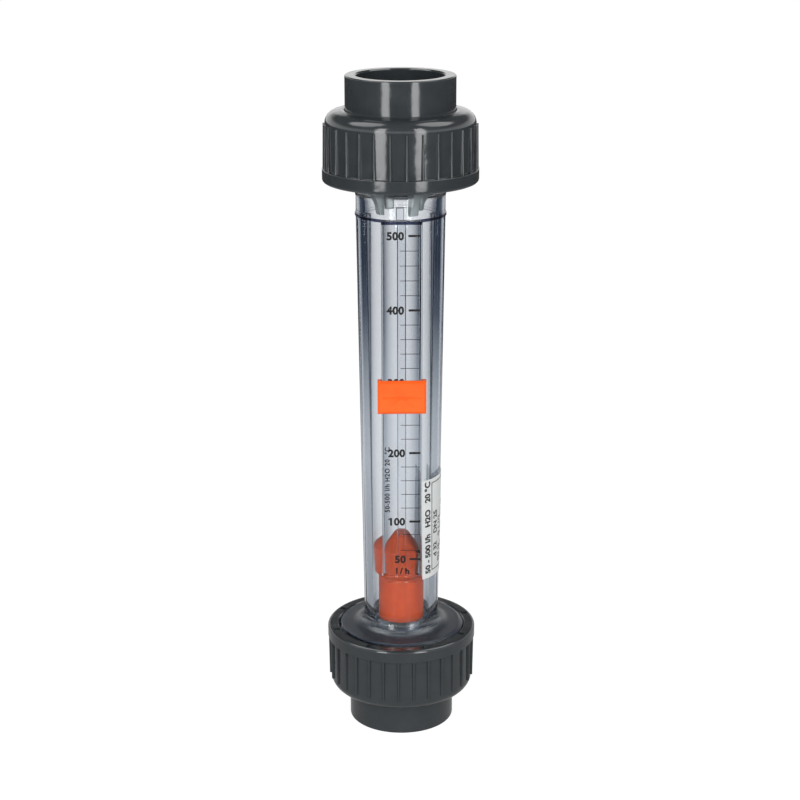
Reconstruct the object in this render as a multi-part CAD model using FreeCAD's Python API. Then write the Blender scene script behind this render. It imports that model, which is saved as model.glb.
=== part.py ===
import FreeCAD, Part

import math
import os

from FreeCAD import Vector

# Rotameter in millimetres, upright on its lower connector, +Z up along the axis.
# The origin is the centre of the lower end face, and the scale faces -Y.

# Lengths along the axis
TUBE_LENGTH = 200.0             # measuring tube, sealing face to sealing face
CONNECTOR_LENGTH = 25.0         # socket connector, end face to sealing face
TOTAL_LENGTH = TUBE_LENGTH + 2 * CONNECTOR_LENGTH
MID_HEIGHT = TOTAL_LENGTH / 2

# Small rounded edges, in flats
EDGE_FLAT_COUNT = 2
HIDDEN_FLAT_COUNT = 1

# Socket connectors for a 32 mm pipe
PIPE_R = 16.0
SOCKET_DEPTH = 22.0
SOCKET_CHAMFER = 0.5
SOCKET_WALL = 4.0
WATERWAY_R = 13.0
CONNECTOR_EDGE_ROUND = 0.5
COLLAR_REACH = 2.4              # how far the collar stands out past the socket wall
COLLAR_THICKNESS = 9.0
COLLAR_EDGE_ROUND = 0.6
CONNECTOR_R = PIPE_R + SOCKET_WALL
COLLAR_R = CONNECTOR_R + COLLAR_REACH

# Threaded ends of the tube, G 1 1/2, drawn at the crest of the thread
THREAD_ROOM = 1.5               # crest outside the collar, so that the nut's thread passes it
THREAD_R = COLLAR_R + THREAD_ROOM
FLANGE_LENGTH = 13.8
THREAD_CHAMFER = 0.8

# Union nuts
NUT_HOLE_CLEARANCE = 0.3        # round the connector
THREAD_CLEARANCE = 0.2          # over the crest of the thread
NUT_LENGTH = 25.9
NUT_LIP = 3.6                   # inward lip that pulls on the collar
NUT_WALL = 3.2                  # bore to the panels between the grip ridges
NUT_FACE_WIDTH = 1.1            # flat end face round the hole
NUT_CONE_DEG = 10.0             # slope of the shoulder behind the flat face
NUT_SHOULDER_ROUND = 4.2
MOUTH_BAND_PROUD = 1.15         # over the panels
MOUTH_BAND_LENGTH = 5.0
MOUTH_ROUND = 1.2
MOUTH_CHAMFER = 0.5
RIDGE_COUNT = 30
RIDGE_HEIGHT = 0.95
RIDGE_TIP_WIDTH = 0.8
RIDGE_BASE_WIDTH = 1.4
RIDGE_GAP = 0.4                 # from the shoulder's rounding to the ridges
RIDGE_TURN_DEG = -3.35          # the first ridge from the front
RIDGE_ROOT = 0.6                # how deep a ridge is rooted in the panel
PIT_COUNT = 8                   # small pits in the mouth's end face
PIT_WIDTH = 1.2
PIT_DEPTH = 0.8
PIT_LENGTH = 1.7                # along the radius
PIT_INSET = 0.35                # inside the mouth's rounded edge
PIT_TURN_DEG = 19.5             # the first pit from the first ridge
NUT_HOLE_R = CONNECTOR_R + NUT_HOLE_CLEARANCE
NUT_FACE_R = NUT_HOLE_R + NUT_FACE_WIDTH
NUT_BORE_R = THREAD_R + THREAD_CLEARANCE
NUT_PANEL_R = NUT_BORE_R + NUT_WALL
MOUTH_BAND_R = NUT_PANEL_R + MOUTH_BAND_PROUD
NUT_Z = CONNECTOR_LENGTH - COLLAR_THICKNESS - NUT_LIP

# Float, from its foot up
FLOAT_R = 10.6                  # the edge that the scale is read at
FLOAT_STEM_INSET = 1.9          # stem inside the edge
FLOAT_STEM_LENGTH = 18.3
FLOAT_STEP_INSET = 0.5
FLOAT_STEP_LENGTH = 1.7
FLOAT_HEAD_LENGTH = 9.8
FLOAT_EDGE_LENGTH = 0.5
FLOAT_CROWN_HEIGHT = 5.2
FLOAT_CROWN_R = 3.0
FLOAT_FOOT_ROUND = 1.2
FLOAT_CROWN_ROUND = 4.0

# Measuring tube: one cone outside and inside, with a ring at its upper end
TAPER = 0.014                   # radius gained for each millimetre of height
WALL = 3.4
GUIDE_COUNT = 4
GUIDE_WIDTH = 3.2
GUIDE_CLEARANCE = 0.2           # between the float's edge and the guide ribs
GUIDE_START = 7.2               # above the lower flange, where the bore passes the ribs' edge
GUIDE_ROOT = 0.4                # how far a guide rib reaches into the wall
GUIDE_END_GAP = 0.5             # below the upper stop's blades
RING_DROP = 11.6                # ring below the upper flange
RING_HEIGHT = 0.6
RING_PROUD = 0.35
FLANGE_FILLET = 5.0
GUIDE_R = FLOAT_R + GUIDE_CLEARANCE
LOWER_FLANGE_TOP = CONNECTOR_LENGTH + FLANGE_LENGTH
UPPER_FLANGE_BASE = TOTAL_LENGTH - LOWER_FLANGE_TOP
RING_Z = UPPER_FLANGE_BASE - RING_DROP

# Seats for the two float stops
SEAT_DEPTH = 12.0
STOP_HOLD = 0.6                 # how far the connector's face covers the lower stop
SEAT_LEDGE = 1.2                # ledge that the upper stop rests against
SEAT_CLEARANCE = 0.1
LOWER_SEAT_Z = CONNECTOR_LENGTH + SEAT_DEPTH
UPPER_SEAT_Z = TOTAL_LENGTH - LOWER_SEAT_Z

# Float stops: a ring with four blades that reach into the bore
BLADE_COUNT = 4
BLADE_THICKNESS = 3.4
LOWER_BLADE_R = 6.0             # inner edge of the blades
UPPER_BLADE_R = 7.5
BLADE_TURN_DEG = 30.0
LOWER_NOSE = 4.2                # length of the blades past the seat
UPPER_NOSE = 12.7
LOWER_NOSE_GAP = 0.6            # blade to bore, at the seat
UPPER_NOSE_GAP = 1.4
NOSE_TAPER = 0.21               # radius lost for each millimetre of nose
FLOAT_Z = LOWER_SEAT_Z + LOWER_NOSE

# O-rings, flattened in their grooves
GROOVE_LAND = 1.4               # wall between a stop's seat and the O-ring
GROOVE_CLEARANCE = 0.15
ORING_CORD = 3.53
ORING_SQUEEZE = 0.2             # share of the cord that the joint flattens
ORING_ROUND = 0.36              # rounding of the flattened section, as a share of its height
ORING_HEIGHT = ORING_CORD * (1 - ORING_SQUEEZE)
ORING_FLAT = math.pi * (ORING_CORD ** 2 - ORING_HEIGHT ** 2) / (4 * ORING_HEIGHT)
ORING_WIDTH = ORING_FLAT + ORING_HEIGHT

# Scale rail along the front of the tube, a T in section
RAIL_WIDTH = 14.8
RAIL_PROUD = 2.4                # front face in front of the tube's surface
RAIL_LIP = 0.9                  # thickness of the lip
RAIL_UNDERCUT = 0.4             # neck inside the lip's edge
RAIL_ROOT = 2.3                 # depth of the rail's root below the tube's surface
RAIL_GAP = 22.2                 # bottom of the rail above the lower flange
RAIL_FOOT_LENGTH = 3.3          # narrower foot below the lip
RAIL_FOOT_INSET = 2.1

# Setpoint slider, clipped over the rail
SLIDER_SIDE = 1.4               # beside the rail's lip
SLIDER_HEIGHT = 12.6
SLIDER_PLATE = 1.55             # in front of the rail
SLIDER_CLEARANCE = 0.1
SLIDER_NECK_CLEARANCE = 0.1
SLIDER_CLAW = 0.8               # thickness of the claws behind the rail's lip
SLIDER_Z = 128.9
SLIDER_BEVEL = 0.9
SLIDER_LINE_HEIGHT = 0.7
SLIDER_LINE_INSET = 1.9
SLIDER_LINE_PROUD = 0.35
SLIDER_FACET_WIDTH = 12.0
SLIDER_FACET_DROP = 4.4
SLIDER_FACET_PROUD = 0.3
SLIDER_HALF = RAIL_WIDTH / 2 + SLIDER_CLEARANCE + SLIDER_SIDE

# Type plate on the tube's right side: a plain sticker
LABEL_Z = 60.7
LABEL_HEIGHT = 39.8
LABEL_WIDTH = 23.0              # round the tube
LABEL_TURN_DEG = 34.0           # its left edge from the front
LABEL_THICKNESS = 0.15
LABEL_GLUE = 0.1


def upright(r, z):
    """Point of a half-section: radius and height."""
    return Vector(r, 0, z)


def level(x, y):
    """Point of a level section."""
    return Vector(x, y, 0)


def rounded_face(corners, place):
    """Flat face in the plane given by place, through corners (a, b), (a, b, rounding) with an arc,
    or (a, b, rounding, flats) where a small round is drawn as that many flats."""
    points = [place(c[0], c[1]) for c in corners]
    ends = []
    edges = []
    for i, corner in enumerate(corners):
        here = points[i]
        before = (points[i - 1] - here).normalize()
        after = (points[(i + 1) % len(points)] - here).normalize()
        if len(corner) < 3:
            ends.append((here, here))
            continue
        half = before.getAngle(after) / 2
        run = corner[2] / math.tan(half)
        centre = here + (before + after).normalize() * (corner[2] / math.sin(half))
        start, stop = here + before * run, here + after * run
        ends.append((start, stop))
        if len(corner) == 4:
            edges.extend(flats(start, stop, centre, math.pi - 2 * half, corner[3]))
        else:
            crown = centre + (here - centre).normalize() * corner[2]
            edges.append(Part.Arc(start, crown, stop).toShape())
    for i, (start, stop) in enumerate(ends):
        edges.append(Part.LineSegment(ends[i - 1][1], start).toShape())
    return Part.Face(Part.Wire(Part.__sortEdges__(edges)))


def flats(start, stop, centre, turn, count):
    """Equal chords from start to stop round a centre, in place of an arc that turns by turn."""
    points = []
    for i in range(count + 1):
        from_start = math.sin(turn * (count - i) / count) / math.sin(turn)
        from_stop = math.sin(turn * i / count) / math.sin(turn)
        points.append(centre + (start - centre) * from_start + (stop - centre) * from_stop)
    return [Part.LineSegment(a, b).toShape() for a, b in zip(points, points[1:])]


def turned(corners, degrees=360):
    """Solid of revolution about the axis from a half-section."""
    return rounded_face(corners, upright).revolve(Vector(0, 0, 0), Vector(0, 0, 1), degrees)


def around(shape, count, first_deg=0.0):
    """Copies of a shape evenly round the axis, the first one turned by first_deg."""
    copies = []
    for i in range(count):
        turned_copy = shape.copy()
        turned_copy.rotate(Vector(0, 0, 0), Vector(0, 0, 1), first_deg + 360.0 * i / count)
        copies.append(turned_copy)
    return copies


def turned_over(shape):
    """The same piece at the other end of the tube, turned over about the mid-height."""
    other = shape.copy()
    other.rotate(Vector(0, 0, MID_HEIGHT), Vector(1, 0, 0), 180)
    return other


def bore_r(z):
    """Radius of the tapered measuring bore."""
    return GUIDE_R + TAPER * (z - LOWER_FLANGE_TOP - GUIDE_START)


def tube_r(z):
    """Outer radius of the tube's cone."""
    return bore_r(z) + WALL


LOWER_SEAT_R = WATERWAY_R + STOP_HOLD
UPPER_SEAT_R = bore_r(UPPER_SEAT_Z) + SEAT_LEDGE
ORING_INNER_R = max(LOWER_SEAT_R, UPPER_SEAT_R) + GROOVE_LAND


def connector():
    """Lower socket connector: the socket, its stop, and the collar that the nut pulls on."""
    collar_z = CONNECTOR_LENGTH - COLLAR_THICKNESS
    return turned([
        (PIPE_R + SOCKET_CHAMFER, 0),
        (CONNECTOR_R, 0, CONNECTOR_EDGE_ROUND, EDGE_FLAT_COUNT),
        (CONNECTOR_R, collar_z),
        (COLLAR_R, collar_z, COLLAR_EDGE_ROUND, HIDDEN_FLAT_COUNT),
        (COLLAR_R, CONNECTOR_LENGTH, COLLAR_EDGE_ROUND, HIDDEN_FLAT_COUNT),
        (WATERWAY_R, CONNECTOR_LENGTH),
        (WATERWAY_R, SOCKET_DEPTH),
        (PIPE_R, SOCKET_DEPTH),
        (PIPE_R, SOCKET_CHAMFER),
    ])


def union_nut():
    """Lower union nut: coned shoulder, thirty grip ridges, plain band and pits at the mouth."""
    end = NUT_Z
    mouth = end + NUT_LENGTH
    band = mouth - MOUTH_BAND_LENGTH
    shoulder = end + (NUT_PANEL_R - NUT_FACE_R) * math.tan(math.radians(NUT_CONE_DEG))
    body = turned([
        (NUT_HOLE_R, end),
        (NUT_FACE_R, end),
        (NUT_PANEL_R, shoulder, NUT_SHOULDER_ROUND),
        (NUT_PANEL_R, band),
        (MOUTH_BAND_R, band),
        (MOUTH_BAND_R, mouth, MOUTH_ROUND, EDGE_FLAT_COUNT),
        (NUT_BORE_R + MOUTH_CHAMFER, mouth),
        (NUT_BORE_R, mouth - MOUTH_CHAMFER),
        (NUT_BORE_R, end + NUT_LIP),
        (NUT_HOLE_R, end + NUT_LIP),
    ])
    front_deg = -90 + RIDGE_TURN_DEG
    ridge_z = shoulder + NUT_SHOULDER_ROUND * math.tan(math.radians(90 - NUT_CONE_DEG) / 2) + RIDGE_GAP
    ridges = around(grip_ridge(ridge_z, band + MOUTH_ROUND), RIDGE_COUNT, front_deg)
    pits = around(mouth_pit(mouth), PIT_COUNT, front_deg + PIT_TURN_DEG)
    return body.multiFuse(ridges).cut(pits)


def grip_ridge(low, high):
    """One ridge of the nut's grip, along +X, from the shoulder into the mouth band."""
    root = NUT_PANEL_R - RIDGE_ROOT
    tip = NUT_PANEL_R + RIDGE_HEIGHT
    section = rounded_face([
        (root, -RIDGE_BASE_WIDTH / 2),
        (NUT_PANEL_R, -RIDGE_BASE_WIDTH / 2),
        (tip, -RIDGE_TIP_WIDTH / 2),
        (tip, RIDGE_TIP_WIDTH / 2),
        (NUT_PANEL_R, RIDGE_BASE_WIDTH / 2),
        (root, RIDGE_BASE_WIDTH / 2),
    ], level)
    section.translate(Vector(0, 0, low))
    return section.extrude(Vector(0, 0, high - low))


def mouth_pit(mouth):
    """Cutter for one small pit in the end face of the nut's mouth, along +X."""
    outer = MOUTH_BAND_R - MOUTH_ROUND - PIT_INSET
    start = Vector(outer - PIT_LENGTH, -PIT_WIDTH / 2, mouth - PIT_DEPTH)
    return Part.makeBox(PIT_LENGTH, PIT_WIDTH, 2 * PIT_DEPTH, start)


def measuring_tube():
    """Clear tube in one piece: cone, flanges, ring, guide ribs and scale rail."""
    low, high = CONNECTOR_LENGTH, TOTAL_LENGTH - CONNECTOR_LENGTH
    ring_r, ring_top = tube_r(RING_Z), RING_Z + RING_HEIGHT
    body = turned([
        (LOWER_SEAT_R, low),
        (THREAD_R - THREAD_CHAMFER, low),
        (THREAD_R, low + THREAD_CHAMFER),
        (THREAD_R, LOWER_FLANGE_TOP - THREAD_CHAMFER),
        (THREAD_R - THREAD_CHAMFER, LOWER_FLANGE_TOP),
        (tube_r(LOWER_FLANGE_TOP), LOWER_FLANGE_TOP, FLANGE_FILLET),
        (ring_r, RING_Z),
        (ring_r + RING_PROUD, RING_Z),
        (ring_r + RING_PROUD, ring_top),
        (ring_r, ring_top),
        (ring_r, UPPER_FLANGE_BASE, FLANGE_FILLET),
        (THREAD_R - THREAD_CHAMFER, UPPER_FLANGE_BASE),
        (THREAD_R, UPPER_FLANGE_BASE + THREAD_CHAMFER),
        (THREAD_R, high - THREAD_CHAMFER),
        (THREAD_R - THREAD_CHAMFER, high),
        (UPPER_SEAT_R, high),
        (UPPER_SEAT_R, UPPER_SEAT_Z),
        (bore_r(UPPER_SEAT_Z), UPPER_SEAT_Z),
        (bore_r(LOWER_SEAT_Z), LOWER_SEAT_Z),
        (LOWER_SEAT_R, LOWER_SEAT_Z),
    ])
    ribs = around(guide_rib(LOWER_SEAT_Z, UPPER_SEAT_Z - UPPER_NOSE - GUIDE_END_GAP), GUIDE_COUNT, -90)
    groove = o_ring_groove()
    return body.multiFuse(ribs + [scale_rail()]).cut([groove, turned_over(groove)])


def guide_rib(low, high):
    """Guide rib along +X: its edge keeps one radius while the bore opens upwards."""
    depth = bore_r(high) + GUIDE_ROOT - GUIDE_R
    return Part.makeBox(depth, GUIDE_WIDTH, high - low, Vector(GUIDE_R, -GUIDE_WIDTH / 2, low))


def o_ring():
    """Lower O-ring, flattened between the tube and the connector."""
    inner, outer = ORING_INNER_R, ORING_INNER_R + ORING_WIDTH
    low, high = CONNECTOR_LENGTH, CONNECTOR_LENGTH + ORING_HEIGHT
    rounding = ORING_ROUND * ORING_HEIGHT
    return turned([
        (inner, low, rounding, HIDDEN_FLAT_COUNT),
        (outer, low, rounding, HIDDEN_FLAT_COUNT),
        (outer, high, rounding, HIDDEN_FLAT_COUNT),
        (inner, high, rounding, HIDDEN_FLAT_COUNT),
    ])


def o_ring_groove():
    """Cutter for the groove in the tube's lower sealing face."""
    inner = ORING_INNER_R - GROOVE_CLEARANCE
    outer = ORING_INNER_R + ORING_WIDTH + GROOVE_CLEARANCE
    low, high = CONNECTOR_LENGTH - ORING_HEIGHT, CONNECTOR_LENGTH + ORING_HEIGHT
    return turned([(inner, low), (outer, low), (outer, high), (inner, high)])


def along_rail(corners, low, high):
    """Prism with a level section, leaning forward as the tube's cone does."""
    face = rounded_face(corners, level)
    face.translate(Vector(0, 0, low))
    return face.extrude(Vector(0, -TAPER * (high - low), high - low))


def rail_strip(half, front, back, low, high):
    """Strip of the rail: half its width, and how far its front and back stand out from the cone."""
    surface = tube_r(low)
    corners = [
        (-half, -surface - front),
        (half, -surface - front),
        (half, -surface - back),
        (-half, -surface - back),
    ]
    return along_rail(corners, low, high)


def scale_rail():
    """Flat rail that carries the scale: a lip for the slider, its neck, and a bare foot below."""
    bottom = LOWER_FLANGE_TOP + RAIL_GAP
    lip_bottom = bottom + RAIL_FOOT_LENGTH
    top = RING_Z + RING_HEIGHT
    half = RAIL_WIDTH / 2
    behind = RAIL_PROUD - RAIL_LIP
    lip = rail_strip(half, RAIL_PROUD, behind, lip_bottom, top)
    neck = rail_strip(half - RAIL_UNDERCUT, behind, -RAIL_ROOT, lip_bottom, top)
    foot = rail_strip(half - RAIL_FOOT_INSET, behind, -RAIL_ROOT, bottom, lip_bottom)
    return lip.multiFuse([neck, foot])


def setpoint_slider():
    """Orange marker that clips over the rail's lip and slides along it."""
    low, high = SLIDER_Z, SLIDER_Z + SLIDER_HEIGHT
    front = -(tube_r(low) + RAIL_PROUD)
    plate = front - SLIDER_CLEARANCE - SLIDER_PLATE
    lip = RAIL_WIDTH / 2
    inner = lip + SLIDER_CLEARANCE
    tip = lip - RAIL_UNDERCUT + SLIDER_NECK_CLEARANCE
    behind = front + RAIL_LIP + SLIDER_CLEARANCE
    back = behind + SLIDER_CLAW
    right = [
        (SLIDER_HALF, plate),
        (SLIDER_HALF, back),
        (tip, back),
        (tip, behind),
        (inner, behind),
        (inner, front - SLIDER_CLEARANCE),
    ]
    left = [(-x, y) for x, y in reversed(right)]
    body = along_rail(right + left, low, high)
    body = body.makeChamfer(SLIDER_BEVEL, front_edges(body))
    return body.fuse(slider_relief(plate, low))


def front_edges(body):
    """The four edges round the foremost flat face."""
    foremost = min(body.Faces, key=lambda face: face.CenterOfMass.y)
    return foremost.Edges


def slider_relief(plate, low):
    """Reading line across the slider's face, with a shallow three-sided facet below it."""
    rise = SLIDER_HEIGHT / 2
    y = plate - TAPER * rise
    z = low + rise
    half = SLIDER_HALF - SLIDER_LINE_INSET
    line = [
        Vector(-half, y + SLIDER_LINE_PROUD, z - SLIDER_LINE_HEIGHT),
        Vector(-half, y - SLIDER_LINE_PROUD, z),
        Vector(-half, y + SLIDER_LINE_PROUD, z + SLIDER_LINE_HEIGHT),
    ]
    ridge = Part.Face(Part.makePolygon(line + line[:1])).extrude(Vector(2 * half, 0, 0))
    foot_y = y + TAPER * SLIDER_FACET_DROP
    apex = Vector(0, y - SLIDER_FACET_PROUD, z)
    behind = Vector(0, y + SLIDER_FACET_PROUD, z)
    left = Vector(-SLIDER_FACET_WIDTH / 2, foot_y, z - SLIDER_FACET_DROP)
    right = Vector(SLIDER_FACET_WIDTH / 2, foot_y, z - SLIDER_FACET_DROP)
    sides = [(apex, left, right), (apex, behind, left), (apex, right, behind), (behind, right, left)]
    faces = [Part.Face(Part.makePolygon([a, b, c, a])) for a, b, c in sides]
    facet = Part.Solid(Part.Shell(faces))
    return ridge.fuse(facet)


def float_stop(seat_r, inner_r, blade_r, nose_gap, nose_length, turn_deg):
    """Lower float stop: a ring in its seat, and blades with tapered noses in the bore."""
    base = CONNECTOR_LENGTH + SEAT_CLEARANCE
    tip = LOWER_SEAT_Z + nose_length
    outer_r = seat_r - SEAT_CLEARANCE
    ring = turned([(inner_r, base), (outer_r, base), (outer_r, LOWER_SEAT_Z), (inner_r, LOWER_SEAT_Z)])
    nose_r = inner_r - nose_gap
    root_r = (inner_r + outer_r) / 2
    profile = rounded_face([
        (blade_r, base),
        (root_r, base),
        (root_r, LOWER_SEAT_Z),
        (nose_r, LOWER_SEAT_Z),
        (nose_r - NOSE_TAPER * nose_length, tip),
        (blade_r, tip),
    ], upright)
    profile.translate(Vector(0, -BLADE_THICKNESS / 2, 0))
    blade = profile.extrude(Vector(0, BLADE_THICKNESS, 0))
    return ring.multiFuse(around(blade, BLADE_COUNT, turn_deg))


def lower_stop():
    """Stop that carries the resting float."""
    inner_r = bore_r(LOWER_SEAT_Z)
    return float_stop(LOWER_SEAT_R, inner_r, LOWER_BLADE_R, LOWER_NOSE_GAP, LOWER_NOSE, BLADE_TURN_DEG)


def upper_stop():
    """Stop at the top of the travel, seen through the clear neck."""
    inner_r = bore_r(UPPER_SEAT_Z)
    blank = float_stop(UPPER_SEAT_R, inner_r, UPPER_BLADE_R, UPPER_NOSE_GAP, UPPER_NOSE, -BLADE_TURN_DEG)
    return turned_over(blank)


def float_body():
    """Float at rest on the lower stop: stem, tapered head with its reading edge, crown."""
    stem_r = FLOAT_R - FLOAT_STEM_INSET
    step = FLOAT_Z + FLOAT_STEM_LENGTH
    head = step + FLOAT_STEP_LENGTH
    edge = head + FLOAT_HEAD_LENGTH
    crown = edge + FLOAT_EDGE_LENGTH + FLOAT_CROWN_HEIGHT
    return turned([
        (0, FLOAT_Z),
        (stem_r, FLOAT_Z, FLOAT_FOOT_ROUND, EDGE_FLAT_COUNT),
        (stem_r, step),
        (FLOAT_R - FLOAT_STEP_INSET, head),
        (FLOAT_R, edge),
        (FLOAT_R, edge + FLOAT_EDGE_LENGTH),
        (FLOAT_CROWN_R, crown, FLOAT_CROWN_ROUND),
        (0, crown),
    ])


def label():
    """Sticker on the cone's right side."""
    low, high = LABEL_Z, LABEL_Z + LABEL_HEIGHT
    inner_low, inner_high = tube_r(low) + LABEL_GLUE, tube_r(high) + LABEL_GLUE
    sweep = math.degrees(LABEL_WIDTH / tube_r((low + high) / 2))
    sheet = turned([
        (inner_low, low),
        (inner_low + LABEL_THICKNESS, low),
        (inner_high + LABEL_THICKNESS, high),
        (inner_high, high),
    ], sweep)
    sheet.rotate(Vector(0, 0, 0), Vector(0, 0, 1), LABEL_TURN_DEG - 90)
    return sheet


def main():
    """Builds every piece and writes one file for each."""
    lower_connector = connector()
    lower_nut = union_nut()
    lower_o_ring = o_ring()
    pieces = {
        "measuring_tube": measuring_tube(),
        "float": float_body(),
        "lower_stop": lower_stop(),
        "upper_stop": upper_stop(),
        "lower_o_ring": lower_o_ring,
        "upper_o_ring": turned_over(lower_o_ring),
        "lower_connector": lower_connector,
        "upper_connector": turned_over(lower_connector),
        "lower_union_nut": lower_nut,
        "upper_union_nut": turned_over(lower_nut),
        "setpoint_slider": setpoint_slider(),
        "label": label(),
    }
    os.makedirs("parts", exist_ok=True)
    for name, shape in pieces.items():
        shape.exportStep("parts/" + name + ".step")
        print(name, "solids", len(shape.Solids), "valid", shape.isValid(), "mm3", round(shape.Volume, 1))


main()
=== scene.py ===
# %% [markdown]
# # A clear flow meter between two union nuts
# A rotameter is a clear tapered tube with a float in it. The flow lifts the float, and its edge is read
# against the scale on the front. Two ribbed union nuts clamp the tube between socket connectors.
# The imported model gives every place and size. This lesson dresses it piece by piece: first the camera and
# the light, then one material at a time, then each piece, modelled as a maker would shape it.

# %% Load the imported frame
import math

import bpy
from mathutils import Matrix, Vector


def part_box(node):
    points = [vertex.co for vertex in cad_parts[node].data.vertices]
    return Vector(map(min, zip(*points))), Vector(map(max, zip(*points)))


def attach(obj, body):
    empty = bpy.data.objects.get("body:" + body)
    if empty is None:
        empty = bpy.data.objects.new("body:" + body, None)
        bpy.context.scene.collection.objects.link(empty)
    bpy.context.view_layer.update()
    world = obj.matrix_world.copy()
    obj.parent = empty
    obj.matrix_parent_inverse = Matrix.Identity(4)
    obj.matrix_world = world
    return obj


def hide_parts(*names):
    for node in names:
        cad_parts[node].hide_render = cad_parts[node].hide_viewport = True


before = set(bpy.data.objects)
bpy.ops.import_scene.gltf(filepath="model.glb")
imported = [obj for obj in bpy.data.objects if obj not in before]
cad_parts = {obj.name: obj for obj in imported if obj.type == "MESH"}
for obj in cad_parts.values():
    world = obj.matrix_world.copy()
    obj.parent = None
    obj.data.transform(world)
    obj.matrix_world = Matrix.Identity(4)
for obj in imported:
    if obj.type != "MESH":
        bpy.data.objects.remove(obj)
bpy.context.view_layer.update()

# %% [markdown]
# ## Sizes
# The sizes are those of the real meter in millimetres, and MM turns them to metres where a tool needs it.
# Heights and radii that the frame knows are read from it, so that every piece meets its neighbours.

# %% Driving sizes
MM = 0.001
FULL_TURN = 2 * math.pi


def node_box(name):
    """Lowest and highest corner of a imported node, in millimetres."""
    low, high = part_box(name)
    return [c / MM for c in low], [c / MM for c in high]


tube_low, tube_high = node_box("measuring_tube")
connector_high = node_box("lower_connector")[1]
TUBE_Z = round(tube_low[2], 3)
TOTAL_Z = round(tube_high[2], 3) + round(connector_high[2], 3)
MID_Z = TOTAL_Z / 2
FLANGE_Z = 38.8                 # top of the lower threaded flange
TAPER = 0.014                   # the tube's radius grows by this for each millimetre of height
WALL = 3.4
GUIDE_R = 10.8                  # edge of the guide ribs, which is the bore's radius where they start
GUIDE_Z = 46.0
PITCH = 25.4 / 11               # eleven threads to the inch
THREAD_CREST_R = 23.9
THREAD_ROOT_R = 22.42
FLANGE_CHAMFER = 0.8
OVERLAP = 0.3                   # how far a piece reaches into the one that it is united with
INSET = 0.02                    # keeps two faces from lying in one plane
SPARE = 0.1                     # how far a cut starts outside what it cuts
UPPER_FLANGE_Z = TOTAL_Z - FLANGE_Z
RING_Z = UPPER_FLANGE_Z - 11.3  # thin ring round the tube's cone, at the top of the rail
RING_HEIGHT = 0.6
RING_SKIRT = 0.55               # how far the ring's foot runs down the cone
print("tube from", TUBE_Z, "mm, whole meter", TOTAL_Z, "mm")


def bore_r(z):
    """Radius of the measuring bore at height z."""
    return GUIDE_R + TAPER * (z - GUIDE_Z)


def tube_r(z):
    """Outer radius of the tube's cone at height z."""
    return bore_r(z) + WALL


# %% [markdown]
# ## Camera
# The photograph was taken with a long lens a little above the meter, looking down. The camera stands a
# touch to the left, because the rail's left side shows. Its distance, height and lens come from the
# ellipses of the two ends and the nuts, so the perspective is the same.

# %% Camera
CAMERA_DISTANCE = 676.5         # from the tube's axis
CAMERA_HEIGHT = 340.8
CAMERA_DOWN_DEG = 17.43
CAMERA_TURN_DEG = -1.2          # to the left of the scale
CAMERA_ROLL_DEG = 0.09
LENS_MM = 85.02

turn = math.radians(CAMERA_TURN_DEG)
camera_data = bpy.data.cameras.new("camera")
camera_data.lens = LENS_MM
camera_data.sensor_width = 36.0
camera = bpy.data.objects.new("camera", camera_data)
bpy.context.scene.collection.objects.link(camera)
camera.location = Vector((
    math.sin(turn) * CAMERA_DISTANCE, -math.cos(turn) * CAMERA_DISTANCE, CAMERA_HEIGHT)) * MM
camera.rotation_euler = (math.radians(90 - CAMERA_DOWN_DEG), math.radians(CAMERA_ROLL_DEG), turn)
bpy.context.scene.camera = camera
bpy.context.scene.view_settings.view_transform = "Standard"
print("camera at", [round(c, 3) for c in camera.location])

# %% [markdown]
# ## Colours and nodes
# Colours are written as in a paint program, as sRGB hex values, and one function turns them to the linear
# values that Blender works in. One more function adds a node with its settings and its links, and a few short
# ones on top of it add the nodes that come up most.

# %% Helpers for materials
WHITE = (1.0, 1.0, 1.0, 1.0)


def linear(hex_colour):
    """Linear red, green, blue and alpha of an sRGB hex colour."""
    parts = [int(hex_colour[i:i + 2], 16) / 255 for i in (0, 2, 4)]
    return tuple(c / 12.92 if c <= 0.04045 else ((c + 0.055) / 1.055) ** 2.4 for c in parts) + (1.0,)


def add_node(tree, kind, inputs=(), **settings):
    """Adds a shader node: settings are its own properties, inputs are values or outputs that feed it."""
    node = tree.nodes.new("ShaderNode" + kind)
    for name, value in settings.items():
        setattr(node, name, value)
    for name, value in dict(inputs).items():
        if isinstance(value, bpy.types.NodeSocket):
            tree.links.new(value, node.inputs[name])
        else:
            node.inputs[name].default_value = value
    return node


def new_material(name):
    """An empty material with its node tree and its output node."""
    material = bpy.data.materials.new(name)
    material.use_nodes = True
    material.node_tree.nodes.clear()
    output = add_node(material.node_tree, "OutputMaterial")
    return material, material.node_tree, output


def calc(tree, operation, *values):
    """Result of an operation on values or outputs."""
    return add_node(tree, "Math", dict(enumerate(values)), operation=operation).outputs[0]


def remap(tree, value, source=(0.0, 1.0), target=(0.0, 1.0), curve="LINEAR"):
    """Carries value from the range source to the range target."""
    node = add_node(tree, "MapRange", {
        "Value": value, "From Min": source[0], "From Max": source[1],
        "To Min": target[0], "To Max": target[1]}, interpolation_type=curve)
    return node.outputs["Result"]


def blend(tree, factor, first, second):
    """A colour: first where factor is 0, second where it is 1."""
    return add_node(tree, "Mix", {0: factor, 6: first, 7: second}, data_type="RGBA").outputs[2]


def noise(tree, scale, detail, vector=None):
    """Noise over the object's own coordinates, or over another vector."""
    if vector is None:
        vector = add_node(tree, "TexCoord").outputs["Object"]
    node = add_node(tree, "TexNoise", {"Vector": vector, "Scale": scale, "Detail": detail})
    return node.outputs["Fac"]


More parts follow.
